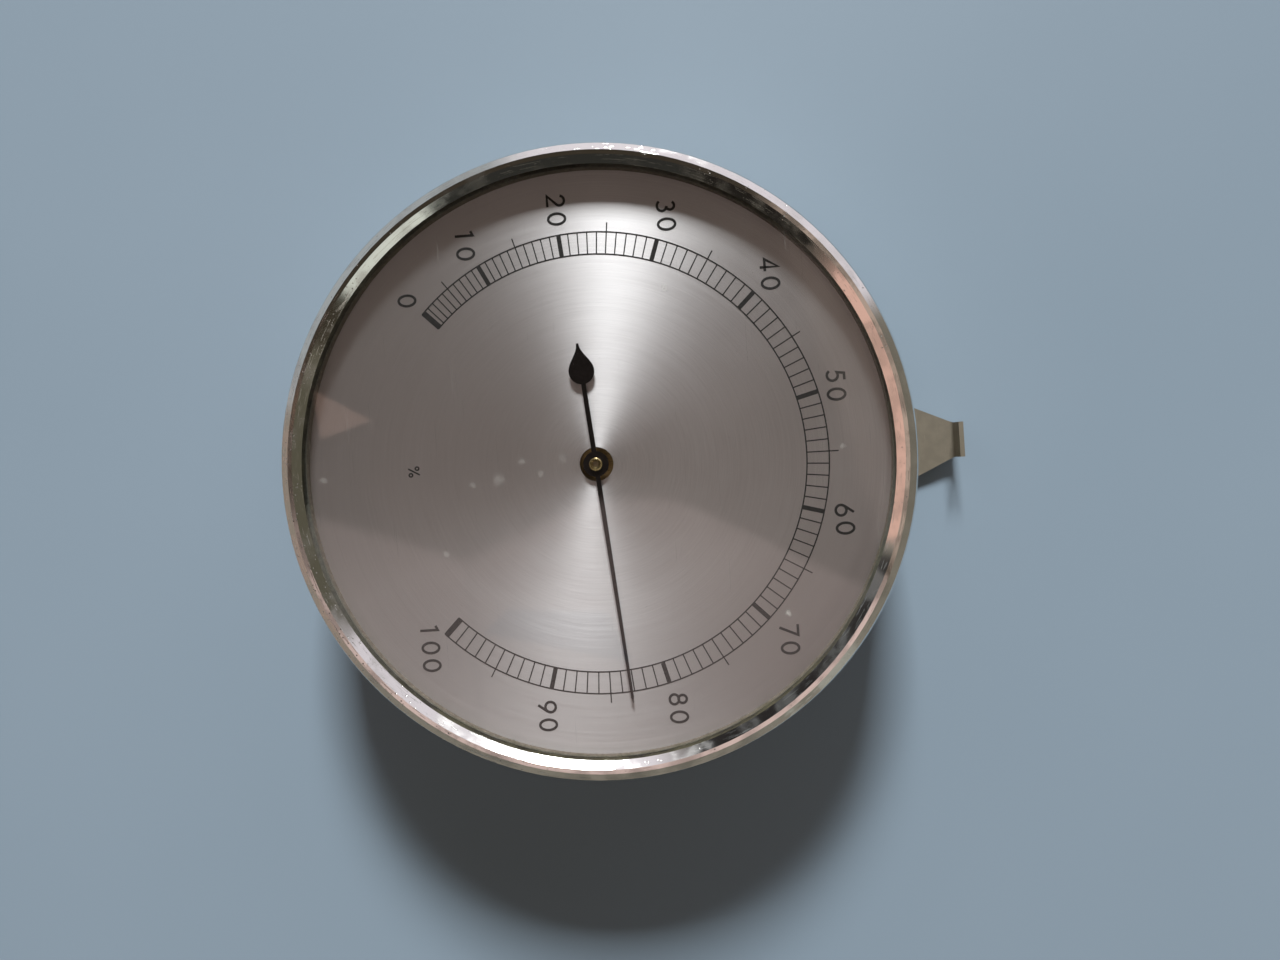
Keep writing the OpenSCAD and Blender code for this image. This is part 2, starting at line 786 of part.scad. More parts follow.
// Eye and ferrule that grip one end of the hair; side is +1 for hair running towards +Y
module hair_clamp(side) {
    rotate([0, 0, side > 0 ? 0 : 180]) difference() {
        union() {
            disc(eye_r, hair_z - eye_t / 2, eye_t);
            translate([0, ferrule_at, hair_z]) rotate([-90, 0, 0]) cylinder(r = ferrule_r, h = ferrule_len);
        }
        disc(hair_pin_r + run_gap, hair_z - 2, 4);
        translate([0, ferrule_at + ferrule_len - hair_grip, hair_z]) rotate([-90, 0, 0])
            cylinder(r = hair_r + run_gap, h = hair_grip + 1);
    }
}

module lower_hair_clamp() {
    color("gold") at(crank_x, crank_y) hair_clamp(1);
}

module upper_hair_clamp() {
    color("gold") at(crank_x, anchor_y) hair_clamp(-1);
}

// Bundle of hair between the two ferrules
module hair_bundle() {
    inset = ferrule_at + ferrule_len - hair_grip + 0.1;
    color("burlywood") translate([crank_x, crank_y + inset, hair_z]) rotate([-90, 0, 0])
        cylinder(r = hair_r, h = anchor_y - crank_y - 2 * inset);
}

// Lever that shifts the hair's upper anchor; its forked tail holds the cam of the adjusting screw
module calibration_lever() {
    prong_w = 2;
    fork_w = 2 * (cam_r + prong_w);
    gap_w = 2 * (cam_r + cam_gap);
    fork_x = cam_x - 5;
    fork_len = 8.2;
    color("goldenrod") difference() {
        union() {
            bar([crank_x, anchor_y], [stud_x, anchor_y], lever_w, lever_z, lever_t);
            bar([stud_x, anchor_y], [fork_x, anchor_y], lever_w, lever_z, lever_t);
            at(stud_x, anchor_y) disc(lever_hub_r, lever_z, lever_t);
            translate([fork_x, anchor_y - fork_w / 2, lever_z]) cube([fork_len, fork_w, lever_t]);
        }
        at(crank_x, anchor_y) disc(hair_pin_r, lever_z - cut, lever_t + 2 * cut);
        at(stud_x, anchor_y) disc(lever_pin_r + run_gap, lever_z - cut, lever_t + 2 * cut);
        translate([cam_x - 1.4, anchor_y - gap_w / 2, lever_z - cut]) cube([10, gap_w, lever_t + 2 * cut]);
    }
}

// Shouldered stud on which the calibration lever turns
module lever_stud() {
    low = lever_z - 0.9;
    under = lever_z - end_gap;
    over = lever_z + lever_t + end_gap;
    top = plate_top + 0.5;
    color("silver") at(stud_x, anchor_y) difference() {
        rotate_extrude() polygon([
            [0, low], [2.6, low], [2.6, under], [lever_pin_r, under], [lever_pin_r, over],
            [2.4, over], [2.4, plate_z], [lever_pin_r, plate_z], [lever_pin_r, plate_top],
            [2.1, plate_top], [2.1, top], [0, top]
        ]);
        driver_slot(low - cut, driver_w, 0.5 + cut);
    }
}

// Eccentric screw: slotted head, offset cam in the lever's fork, flange, shank and riveted end
module adjusting_screw() {
    head_z = lever_z - 2.2;
    cam_z = lever_z - 0.3;
    flange_z = lever_z + lever_t + 0.25;
    shank_z = plate_z - end_gap;
    end_z = plate_top + washer_t + end_gap;
    color("gold") at(cam_x, anchor_y) difference() {
        union() {
            disc(adjuster_head_r, head_z, cam_z - head_z);
            at(cam_throw, 0) disc(cam_r, cam_z, flange_z - cam_z);
            disc(adjuster_flange_r, flange_z, shank_z - flange_z);
            disc(cam_shank_r, shank_z, end_z - shank_z);
            disc(adjuster_end_r, end_z, 0.5);
        }
        driver_slot(head_z - cut, 0.8, 1 + cut);
    }
}

module adjuster_washer() {
    color("silver") at(cam_x, anchor_y) ring(cam_shank_r + run_gap, washer_r, plate_top, washer_t);
}

case();
bezel();
crystal();
crystal_gasket();
spacer_ring();
dial();
hanger();
hanger_rivets();
case_screws();
case_nuts();
mainplate();
pillars();
pillar_screws();
bridge();
bridge_screws();
arbor_rear_bush();
arbor_front_bush();
pointer_arbor();
pinion();
pointer_bush();
pointer();
hairspring_collet();
hairspring();
hairspring_stud();
sector_rear_bush();
sector_front_bush();
sector_arbor();
sector_collet();
sector_gear();
hair_crank();
crank_pin();
lower_hair_clamp();
hair_bundle();
upper_hair_clamp();
hair_anchor_pin();
calibration_lever();
lever_stud();
adjusting_screw();
adjuster_washer();
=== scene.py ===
import math
import random

import bpy
from mathutils import Matrix, Vector


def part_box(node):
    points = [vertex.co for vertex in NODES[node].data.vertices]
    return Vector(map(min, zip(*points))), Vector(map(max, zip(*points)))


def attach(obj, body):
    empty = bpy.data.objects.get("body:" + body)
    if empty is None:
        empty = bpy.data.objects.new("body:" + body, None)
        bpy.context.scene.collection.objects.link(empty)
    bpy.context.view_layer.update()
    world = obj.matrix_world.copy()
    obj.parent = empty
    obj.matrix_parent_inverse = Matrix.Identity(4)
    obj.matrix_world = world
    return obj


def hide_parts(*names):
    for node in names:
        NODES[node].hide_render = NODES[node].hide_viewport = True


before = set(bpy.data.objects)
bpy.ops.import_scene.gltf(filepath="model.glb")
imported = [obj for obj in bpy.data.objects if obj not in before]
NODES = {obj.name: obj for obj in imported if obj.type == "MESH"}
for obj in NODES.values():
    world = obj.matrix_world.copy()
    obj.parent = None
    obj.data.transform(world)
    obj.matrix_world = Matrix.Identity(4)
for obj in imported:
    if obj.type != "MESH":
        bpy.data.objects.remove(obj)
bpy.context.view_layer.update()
MM = 0.001

# Heights and radii of the part, and the width of the bezel's ring, in millimetres
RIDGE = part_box("bezel")[1].z / MM
BEZEL_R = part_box("bezel")[1].x / MM
GLASS_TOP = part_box("crystal")[1].z / MM
DIAL_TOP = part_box("dial")[1].z / MM
RING_W = 3.7
OPENING_R = BEZEL_R - RING_W

# Camera: its place and directions, its focal length in pixels of the frame, and the depth it sees in metres
CAMERA_PLACE = Vector((-0.32, 14.95, RIDGE + 152.99)) * MM
CAMERA_RIGHT = Vector((0.0679, 0.9965, -0.0491)).normalized()
CAMERA_BACK = CAMERA_RIGHT.cross(Vector((-0.9975, 0.0668, -0.0250))).normalized()
CAMERA_UP = CAMERA_BACK.cross(CAMERA_RIGHT)
FOCAL_PX = 961
FRAME_PX = (1280, 960)
SENSOR_MM = 36
NEAREST, FARTHEST = 0.01, 20


def link(obj):
    bpy.context.scene.collection.objects.link(obj)
    return obj


def make_camera():
    data = bpy.data.cameras.new("view")
    data.sensor_width = SENSOR_MM
    data.lens = FOCAL_PX / FRAME_PX[0] * SENSOR_MM
    data.clip_start, data.clip_end = NEAREST, FARTHEST
    camera = link(bpy.data.objects.new("view", data))
    turn = Matrix((CAMERA_RIGHT, CAMERA_UP, CAMERA_BACK)).transposed()
    camera.matrix_world = Matrix.Translation(CAMERA_PLACE) @ turn.to_4x4()
    bpy.context.scene.camera = camera


def on_plane(px, py, z):
    """Where a pixel of the picture lies on a level plane, in millimetres."""
    across = (px - FRAME_PX[0] / 2) / FOCAL_PX
    along = (FRAME_PX[1] / 2 - py) / FOCAL_PX
    ray = CAMERA_RIGHT * across + CAMERA_UP * along - CAMERA_BACK
    start = CAMERA_PLACE / MM
    reach = (z - start.z) / ray.z
    return start.x + ray.x * reach, start.y + ray.y * reach


class Graph:
    """A material or world whose nodes are made one after another."""

    def __init__(self, owner):
        owner.use_nodes = True
        self.tree = owner.node_tree
        self.tree.nodes.clear()

    def add(self, kind, inputs=None, **settings):
        n = self.tree.nodes.new(kind)
        for name, value in settings.items():
            setattr(n, name, value)
        for name, value in (inputs or {}).items():
            self.feed(n.inputs[name], value)
        return n

    def feed(self, socket, value):
        if isinstance(value, bpy.types.NodeSocket):
            self.tree.links.new(value, socket)
        elif isinstance(value, tuple) and len(value) == 3 and socket.type == "RGBA":
            socket.default_value = (*value, 1)
        else:
            socket.default_value = value

    def math(self, operation, a, b=0.0):
        return self.add("ShaderNodeMath", {0: a, 1: b}, operation=operation).outputs[0]

    def times(self, *values):
        total = values[0]
        for v in values[1:]:
            total = self.math("MULTIPLY", total, v)
        return total

    def plus(self, *values):
        total = values[0]
        for v in values[1:]:
            total = self.math("ADD", total, v)
        return total

    def span(self, value, low, high, to_low=0.0, to_high=1.0):
        inputs = {0: value, 1: low, 2: high, 3: to_low, 4: to_high}
        return self.add("ShaderNodeMapRange", inputs, interpolation_type="SMOOTHSTEP").outputs[0]

    def noise(self, scale, detail, vector):
        inputs = {"Scale": scale, "Detail": detail, "Vector": vector}
        return self.add("ShaderNodeTexNoise", inputs).outputs["Fac"]

    def cells(self, scale, vector):
        return self.add("ShaderNodeTexVoronoi", {"Scale": scale, "Vector": vector}).outputs["Distance"]

    def mix(self, share, a, b):
        n = self.add("ShaderNodeMix", data_type="RGBA")
        self.feed(n.inputs["Factor"], share)
        self.feed(n.inputs["A"], a)
        self.feed(n.inputs["B"], b)
        return n.outputs["Result"]

    def place(self):
        """Object coordinates in millimetres."""
        at = self.add("ShaderNodeTexCoord").outputs["Object"]
        return self.add("ShaderNodeVectorMath", {0: at, "Scale": 1 / MM}, operation="SCALE").outputs[0]

    def vector(self, x, y, z):
        return self.add("ShaderNodeCombineXYZ", {0: x, 1: y, 2: z}).outputs[0]

    def parts(self, vector):
        return self.add("ShaderNodeSeparateXYZ", {0: vector}).outputs[:3]

    def turned(self, vector, degrees, scale):
        """A vector turned about Z and scaled along each axis."""
        inputs = {"Vector": vector, "Rotation": (0, 0, math.radians(degrees)), "Scale": scale}
        return self.add("ShaderNodeMapping", inputs).outputs[0]

    def bump(self, height, distance, strength):
        inputs = {"Height": height, "Distance": distance, "Strength": strength}
        return self.add("ShaderNodeBump", inputs).outputs[0]

    def out(self, shader, kind="ShaderNodeOutputMaterial"):
        self.add(kind, {0: shader})


def material(name):
    m = bpy.data.materials.new(name)
    return m, Graph(m)


def principled(g, **inputs):
    named = {k.replace("_", " "): v for k, v in inputs.items()}
    return g.add("ShaderNodeBsdfPrincipled", named).outputs[0]


def round_about(g, place):
    """Radius from the dial's axis, and the cosine and sine of the angle round it."""
    x, y, _ = g.parts(place)
    r = g.math("SQRT", g.plus(g.times(x, x), g.times(y, y)))
    safe = g.math("MAXIMUM", r, 0.01)
    return r, g.math("DIVIDE", x, safe), g.math("DIVIDE", y, safe)


def near_turn(g, c, s, turn, core, edge):
    """How near a place on the ring is to a turn from -X towards +Y: 1 within core degrees, 0 past edge."""
    t = math.radians(turn)
    along = g.plus(g.times(c, -math.cos(t)), g.times(s, math.sin(t)))
    return g.span(along, math.cos(math.radians(edge)), math.cos(math.radians(core)))


# The table: half its side in metres, and its two tones
TABLE_HALF = 4.0
TABLE_TONES = ((0.292, 0.371, 0.441), (0.312, 0.393, 0.465))
# The room's tints near the table, halfway up and overhead, and the rises, as sines, over which they change
SKY = ((0.25, 0.235, 0.20), (0.026, 0.020, 0.010), (0.046, 0.038, 0.028))
SKY_RISES = ((0.31, 0.42), (0.5, 0.95))
# A turn runs in degrees from -X, the top of the picture, towards +Y, its right
# Lamps: name, turn and elevation in degrees, distance, width and height in metres, watts, tint
LAMPS = (
    ("window", 3, 29.6, 6.0, 1.37, 1.06, 528.0, (0.93, 0.97, 1.0)),
    ("far_lamp", 133, 42, 2.5, 1.3, 0.9, 1.7, (1.0, 0.90, 0.84)),
)
# Pale and dark parts of the room: turn, half width, elevation, half height and soft edge in degrees, tint
ROOM = (
    (-45, 30, 8, 6, 4, (0.40, 0.44, 0.47)),
    (22, 34, 20, 6, 10, (0.85, 0.82, 0.90)),
    (-46, 24, 27, 9, 3, (0.026, 0.024, 0.024)),
    (-98, 23, 18.5, 4, 2.5, (0.78, 0.50, 0.42)),
    (-152, 28, 27, 9, 3, (0.016, 0.014, 0.012)),
    (176, 30, 28, 8, 3, (0.03, 0.03, 0.027)),
    (144, 11, 25.5, 5, 2, (0.70, 0.75, 0.69)),
    (88, 30, 33, 9, 3, (0.10, 0.095, 0.068)),
)
# Convex shapes overhead that the glass mirrors: corners on a plane one metre up, soft edge, tint
OVERHEAD = (
    (((0.031, -0.42), (0.35, -0.42), (0.35, -0.236), (0.096, -0.236)), 0.01, (0.74, 0.58, 0.55)),
    (((0.096, -0.238), (0.35, -0.238), (0.35, 0.26), (0.19, 0.26), (0.129, 0.146), (0.042, -0.009),
      (0.04, -0.115)), 0.01, (0.74, 0.58, 0.55)),
    (((-0.27, 0.10), (0.12, 0.20), (0.20, 0.27), (-0.27, 0.27)), 0.012, (0.50, 0.40, 0.34)),
    (((0.148, -0.199), (0.172, -0.226), (0.211, -0.075), (0.158, -0.092)), 0.004, (0.30, 0.33, 0.42)),
    (((-0.097, -0.39), (-0.044, -0.385), (-0.060, -0.330)), 0.003, (1.05, 0.66, 0.52)),
)


def toward(turn, elevation):
    """Unit vector to a place in the room."""
    t, h = math.radians(turn), math.radians(elevation)
    return Vector((-math.cos(t) * math.cos(h), math.sin(t) * math.cos(h), math.sin(h)))


def make_table():
    mesh = bpy.data.meshes.new("table")
    corners = [(x * TABLE_HALF, y * TABLE_HALF, 0) for x, y in ((-1, -1), (1, -1), (1, 1), (-1, 1))]
    mesh.from_pydata(corners, [], [(0, 1, 2, 3)])
    floor = link(bpy.data.objects.new("table", mesh))
    m, g = material("table_paint")
    tone = g.noise(6.0, 3, g.add("ShaderNodeTexCoord").outputs["Object"])
    colour = g.mix(g.span(tone, 0.3, 0.7), *TABLE_TONES)
    g.out(principled(g, Base_Color=colour, Roughness=0.55, Specular_IOR_Level=0.3))
    mesh.materials.append(m)


def make_lamps():
    for name, turn, elevation, away, wide, tall, power, tint in LAMPS:
        light = bpy.data.lights.new(name, "AREA")
        light.shape = "RECTANGLE"
        light.size, light.size_y = wide, tall
        light.energy = power
        light.color = tint
        lamp = link(bpy.data.objects.new(name, light))
        lamp.location = toward(turn, elevation) * away
        lamp.rotation_mode = "QUATERNION"
        lamp.rotation_quaternion = toward(turn, elevation).to_track_quat("Z", "Y")


def room_share(g, x, y, up, flat, turn, half_turn, elevation, half_height, soft):
    """How far a direction lies in one part of the room."""
    t = math.radians(turn)
    along = g.math("DIVIDE", g.plus(g.times(x, -math.cos(t)), g.times(y, math.sin(t))), flat)
    side = g.math("ARCCOSINE", g.math("MINIMUM", along, 1.0))
    rise = g.math("ABSOLUTE", g.math("SUBTRACT", g.math("ARCSINE", up), math.radians(elevation)))
    shares = [g.span(value, math.radians(half), math.radians(half + soft), 1, 0)
              for value, half in ((side, half_turn), (rise, half_height))]
    return g.times(*shares)


def overhead_share(g, u, v, above, corners, soft):
    """How far a direction lies in a convex shape on the plane overhead, its corners counter-clockwise."""
    shares = [above]
    for (ax, ay), (bx, by) in zip(corners, corners[1:] + corners[:1]):
        length = math.hypot(bx - ax, by - ay)
        nx, ny = -(by - ay) / length, (bx - ax) / length
        inward = g.plus(g.times(u, nx), g.times(v, ny), -(ax * nx + ay * ny))
        shares.append(g.span(inward, -soft, soft))
    return g.times(*shares)


def make_room():
    world = bpy.data.worlds.new("room")
    bpy.context.scene.world = world
    g = Graph(world)
    x, y, up = g.parts(g.add("ShaderNodeTexCoord").outputs["Generated"])
    flat = g.math("MAXIMUM", g.math("SQRT", g.plus(g.times(x, x), g.times(y, y))), 0.001)
    colour = SKY[0]
    for rise, tint in zip(SKY_RISES, SKY[1:]):
        colour = g.mix(g.span(up, *rise), colour, tint)
    for *where, tint in ROOM:
        colour = g.mix(room_share(g, x, y, up, flat, *where), colour, tint)
    steep = g.math("MAXIMUM", up, 0.05)
    u, v = g.math("DIVIDE", x, steep), g.math("DIVIDE", y, steep)
    above = g.span(up, 0.1, 0.2)
    for corners, soft, tint in OVERHEAD:
        colour = g.mix(overhead_share(g, u, v, above, corners, soft), colour, tint)
    shade = g.add("ShaderNodeBackground", {"Color": colour, "Strength": 1.0})
    g.out(shade.outputs[0], "ShaderNodeOutputWorld")


# Depths of marks in a finish, in metres
GRAIN_DEPTH, RINGS_DEPTH, PIT_DEPTH = 0.00001, 0.000008, 0.00004
# Where a finish changes round its ring: turn, and half width of the core and of the whole, in degrees. The
# dial is darker on one side and tarnished near its middle, the bezel worn, the glass dirty at its rim
DIAL_DARKER_SIDE, DIAL_TARNISHED = (172, 30, 85), (-62, 10, 70)
BEZEL_WORN, GLASS_DIRTY = (-105, 25, 75), (176, 15, 75)


def dial_metal():
    """Metal brushed in circles, whose highlight fans out from the middle."""
    m, g = material("brushed_dial")
    place = g.place()
    r, c, s = round_about(g, place)

    def lines(across, round_it, detail):
        return g.noise(1.0, detail, g.vector(g.times(r, across), g.times(c, round_it), g.times(s, round_it)))

    coarse, fine = lines(14, 2.5, 3), lines(42, 5, 2)
    tone = g.plus(g.times(coarse, 0.6), g.times(fine, 0.4))
    colour = g.mix(g.span(tone, 0.3, 0.7), (0.78, 0.725, 0.725), (0.90, 0.845, 0.845))
    stain = g.span(g.noise(0.05, 3, place), 0.35, 0.7, 0, 0.2)
    # The dial's colour turns darker towards +X, growing from 22 mm out to 40 mm
    dark_patches = g.times(near_turn(g, c, s, *DIAL_DARKER_SIDE), g.span(r, 22, 40, 0, 0.55))
    tarnished = g.times(near_turn(g, c, s, *DIAL_TARNISHED), g.span(r, 2, 16, 0, 0.4))
    dark_patches = g.math("MAXIMUM", dark_patches, tarnished)
    colour = g.mix(g.math("MAXIMUM", stain, dark_patches), colour, (0.50, 0.44, 0.43))
    tangent = g.add("ShaderNodeTangent", direction_type="RADIAL", axis="Z").outputs[0]
    rough = g.span(coarse, 0.3, 0.7, 0.45, 0.51)
    g.out(principled(g, Base_Color=colour, Metallic=0.93, Roughness=rough, Anisotropic=0.70,
                     Anisotropic_Rotation=0.25, Tangent=tangent, Normal=g.bump(fine, GRAIN_DEPTH, 0.3)))
    return m


def bezel_chrome():
    """Old plating: bright, clouded, scratched round its edges and pitted on one side."""
    m, g = material("bezel_plating")
    place = g.place()
    r, c, s = round_about(g, place)
    cloud = g.span(g.noise(0.22, 5, place), 0.38, 0.72)
    worn = near_turn(g, c, s, *BEZEL_WORN)
    pit_cells = g.span(g.cells(1.5, place), 0.05, 0.20, 1, 0)
    where = g.span(g.plus(g.noise(0.5, 3, place), g.times(worn, 0.16)), 0.58, 0.68)
    pits = g.times(pit_cells, where)
    ring = g.noise(1.0, 3, g.vector(g.times(r, 9), g.times(c, 14), g.times(s, 14)))
    scratches = g.times(g.span(ring, 0.62, 0.70), g.plus(g.times(worn, 0.5), 0.25))
    colour = g.mix(g.times(cloud, 0.5), (0.80, 0.77, 0.73), (0.64, 0.61, 0.57))
    colour = g.mix(scratches, colour, (0.86, 0.83, 0.78))
    colour = g.mix(g.times(pits, 0.9), colour, (0.13, 0.11, 0.085))
    rough = g.plus(g.span(cloud, 0, 1, 0.07, 0.20), g.times(worn, 0.06), g.times(scratches, 0.2),
                   g.times(pits, 0.4))
    height = g.math("SUBTRACT", g.times(scratches, 0.3), pits)
    g.out(principled(g, Base_Color=colour, Metallic=1.0, Roughness=rough,
                     Normal=g.bump(height, PIT_DEPTH, 0.7)))
    return m


def metal(name, low, high, rough, metallic=1.0, scratch=0.0, grain_turn=None):
    """Metal with a soft change of tone, a fine or a drawn-out grain and, where asked for, thin scratches."""
    m, g = material(name)
    place = g.place()
    haze = g.noise(0.5, 5, place)
    if grain_turn is None:
        grain = g.noise(7, 3, place)
    else:
        grain = g.noise(1.6, 3, g.turned(place, grain_turn, (6, 0.35, 3)))
    colour = g.mix(g.span(haze, 0.3, 0.7), low, high)
    roughness = g.span(grain, 0.3, 0.7, *rough)
    if scratch:
        for turn in (28, -61):
            streak = g.span(g.noise(1.0, 2, g.turned(place, turn, (0.25, 9, 2))), 0.70, 0.78)
            colour = g.mix(g.times(streak, scratch), colour, tuple(min(1.0, 1.7 * v) for v in high))
    g.out(principled(g, Base_Color=colour, Metallic=metallic, Roughness=roughness,
                     Normal=g.bump(grain, GRAIN_DEPTH, 0.4)))
    return m


def turned_metal(name, low, high, rough):
    """Metal off the lathe, with rings too fine to count."""
    m, g = material(name)
    place = g.place()
    haze = g.noise(0.6, 3, place)
    rings = g.noise(9.0, 2, g.turned(place, 0, (0.3, 0.3, 3)))
    colour = g.mix(g.span(haze, 0.3, 0.7), low, high)
    g.out(principled(g, Base_Color=colour, Metallic=1.0, Roughness=g.span(rings, 0.3, 0.7, *rough),
                     Normal=g.bump(rings, RINGS_DEPTH, 0.4)))
    return m


def paint(name, low, high, rough, scale, coat=0.0, specks=0.0, shine=0.5):
    """Lacquer, ink or rubber with a soft change of tone and, where asked for, pale grit."""
    m, g = material(name)
    place = g.place()
    tone = g.noise(scale, 4, place)
    colour = g.mix(g.span(tone, 0.3, 0.7), low, high)
    if specks:
        grit = g.times(g.span(g.cells(1.1, place), 0.10, 0.22, 1, 0), specks)
        colour = g.mix(grit, colour, tuple(min(1.0, 2.6 * v) for v in high))
    g.out(principled(g, Base_Color=colour, Roughness=rough, Coat_Weight=coat, Coat_Roughness=0.08,
                     Specular_IOR_Level=shine, Normal=g.bump(tone, GRAIN_DEPTH, 0.4)))
    return m


# Share of the light that the glass mirrors head on
HEAD_ON = 0.04
# Dried drops on the glass: pixel, radius in millimetres, strength
DROPS = (
    (472, 485, 0.8, 0.09), (498, 480, 1.5, 0.09), (521, 461, 0.8, 0.12), (540, 474, 0.8, 0.10),
    (562, 458, 1.0, 0.06), (446, 555, 0.8, 0.12), (322, 481, 0.7, 0.12), (664, 287, 0.6, 0.2),
    (843, 446, 0.6, 0.16), (789, 614, 0.5, 0.28),
)


def old_glass():
    """Flat glass with specks, dried drops and thin streaks, and dirt along its rim."""
    m, g = material("crystal_glass_clear")
    place = g.place()
    r, c, s = round_about(g, place)
    facing = g.add("ShaderNodeLayerWeight", {"Blend": 0.5}).outputs["Facing"]
    mirror = g.plus(g.times(g.math("POWER", facing, 5.0), 1 - HEAD_ON), HEAD_ON)
    clear = g.add("ShaderNodeBsdfTransparent", {0: (0.975, 0.985, 0.98)}).outputs[0]
    gloss = g.add("ShaderNodeBsdfGlossy", {"Roughness": 0.02}).outputs[0]
    pane = g.add("ShaderNodeMixShader", {0: mirror, 1: clear, 2: gloss}).outputs[0]

    uneven = g.plus(g.cells(0.6, place), g.times(g.noise(3.0, 3, place), 0.08))
    dust = g.times(g.span(uneven, 0.05, 0.085, 1, 0), g.span(g.noise(0.2, 2, place), 0.56, 0.62), 0.4)
    marks = []
    x, y, _ = g.parts(place)
    ragged = g.times(g.plus(g.noise(1.6, 2, place), -0.5), 2.0)
    for px, py, radius, strength in DROPS:
        cx, cy = on_plane(px, py, GLASS_TOP)
        dx, dy = g.plus(x, -cx), g.plus(y, -cy)
        away = g.math("SQRT", g.plus(g.times(dx, dx), g.times(dy, dy, 1.4)))
        marks.append(g.span(g.plus(away, ragged), 0.0, radius, strength, 0))
    streak = g.noise(1.0, 2, g.turned(place, 35, (0.06, 5, 1)))
    marks.append(g.span(streak, 0.735, 0.765, 0, 0.12))
    for mark in marks:
        dust = g.math("MAXIMUM", dust, mark)
    film = principled(g, Base_Color=(0.75, 0.72, 0.66), Roughness=0.9)
    dusty = g.add("ShaderNodeMixShader", {0: dust, 1: pane, 2: film}).outputs[0]

    wavy = g.plus(r, g.times(g.noise(0.35, 4, place), 1.6))
    dirty = near_turn(g, c, s, *GLASS_DIRTY)
    rim = g.times(g.span(wavy, OPENING_R + 0.1, OPENING_R + 0.9), g.plus(g.times(dirty, 0.6), 0.12))
    dirt = principled(g, Base_Color=(0.16, 0.145, 0.085), Roughness=0.85)
    g.out(g.add("ShaderNodeMixShader", {0: rim, 1: dusty, 2: dirt}).outputs[0])
    return m


def hair_fibre():
    """Blond hair, streaked along its length."""
    m, g = material("hair_blond")
    place = g.place()
    tone = g.noise(1.0, 3, g.turned(place, 0, (9, 0.15, 9)))
    colour = g.mix(g.span(tone, 0.35, 0.65), (0.33, 0.20, 0.09), (0.56, 0.40, 0.21))
    g.out(principled(g, Base_Color=colour, Roughness=0.38, Specular_IOR_Level=0.55, Sheen_Weight=0.15,
                     Sheen_Roughness=0.4))
    return m


def set_material(m, *nodes):
    """Give nodes of the model a finish, each in its object's own slots."""
    for node in nodes:
        for s in NODES[node].material_slots:
            s.link = "OBJECT"
            s.material = m


class Builder:
    """Collects points and faces in millimetres."""

    def __init__(self):
        self.points, self.faces = [], []

    def ribbon(self, left, right, low, high, closed=False):
        """A flat band between two rows of points, solid from low to high."""
        k, n = len(self.points), len(left)
        for z in (low, high):
            self.points += [(x, y, z) for x, y in left] + [(x, y, z) for x, y in right]
        up = 2 * n
        for i in range(n if closed else n - 1):
            j = (i + 1) % n
            a, b, c, d = k + i, k + j, k + n + j, k + n + i
            self.faces += [(a, b, c, d), (a + up, d + up, c + up, b + up)]
            self.faces += [(a, a + up, b + up, b), (d, c, c + up, d + up)]
        if not closed:
            for i, flip in ((0, False), (n - 1, True)):
                a, d = k + i, k + n + i
                ends = (a, d, d + up, a + up)
                self.faces.append(ends[::-1] if flip else ends)

    def tube(self, path, radius, sides):
        """A closed tube along a path that runs mainly along Y."""
        k, n = len(self.points), len(path)
        for x, y, z in path:
            for i in range(sides):
                a = math.tau * i / sides
                self.points.append((x + radius * math.cos(a), y, z + radius * math.sin(a)))
        for j in range(n - 1):
            for i in range(sides):
                a, b = k + j * sides + i, k + j * sides + (i + 1) % sides
                self.faces.append((a, a + sides, b + sides, b))
        self.faces.append(tuple(range(k, k + sides)))
        self.faces.append(tuple(range(k + n * sides - 1, k + (n - 1) * sides - 1, -1)))

    def piece(self, name, m, body, smooth=False):
        mesh = bpy.data.meshes.new(name)
        mesh.from_pydata([tuple(v * MM for v in p) for p in self.points], [], self.faces)
        mesh.validate()
        mesh.update()
        for p in mesh.polygons:
            p.use_smooth = smooth
        mesh.materials.append(m)
        obj = link(bpy.data.objects.new(name, mesh))
        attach(obj, body)
        return obj


def band(path, width, closed=False):
    """Left and right rows of points beside a path, with mitred corners."""
    n = len(path)
    left, right = [], []
    for i, p in enumerate(path):
        before = path[i - 1] if closed or i else None
        after = path[(i + 1) % n] if closed or i < n - 1 else None
        steps = []
        for a, b in ((before, p), (p, after)):
            if a is not None and b is not None:
                d = Vector((b[0] - a[0], b[1] - a[1])).normalized()
                steps.append(Vector((-d.y, d.x)))
        side = sum(steps, Vector((0, 0)))
        side.normalize()
        half = width / 2 / max(0.5, side.dot(steps[0]))
        left.append((p[0] + side.x * half, p[1] + side.y * half))
        right.append((p[0] - side.x * half, p[1] - side.y * half))
    return left, right


def bow(x, y, rx, ry, start, end, steps):
    """Points of an elliptic arc, in degrees counter-clockwise."""
    turns = [math.radians(start + (end - start) * i / steps) for i in range(steps + 1)]
    return [(x + rx * math.cos(t), y + ry * math.sin(t)) for t in turns]


# The printed scale, in millimetres: height, radii, widths of its strokes, and the numerals' stroke and pitch
INK = 0.03
ARC_IN, ARC_OUT, FIVE_OUT = 34.34, 37.95, 39.50
LINE_W, TICK_W, BAR_W, END_W = 0.22, 0.2, 0.72, 0.95
STROKE, PITCH = 0.42, 2.95
# How much lower than the arcs the strokes end, and each further stroke of a figure than the one before
BELOW_ARC, BELOW_STROKE = 0.005, 0.004
# Steps along an arc
ARC_STEPS = 240
# Reading at the middle of the scale: its angle from twelve o'clock, and degrees for each unit
MIDDLE, EACH_UNIT = -14.3, 2.99
# The lower half of the scale draws together towards its end, by this angle and power
DRAWN_IN, DRAWN_POWER = 28.7, 2.4


def scale_angle(value):
    """Degrees clockwise from twelve o'clock of a reading from 0 to 100."""
    past = value - 50
    return MIDDLE + EACH_UNIT * past + (DRAWN_IN * (-past / 50) ** DRAWN_POWER if past < 0 else 0)


def on_dial(angle, r):
    a = math.radians(angle)
    return r * math.sin(a), r * math.cos(a)


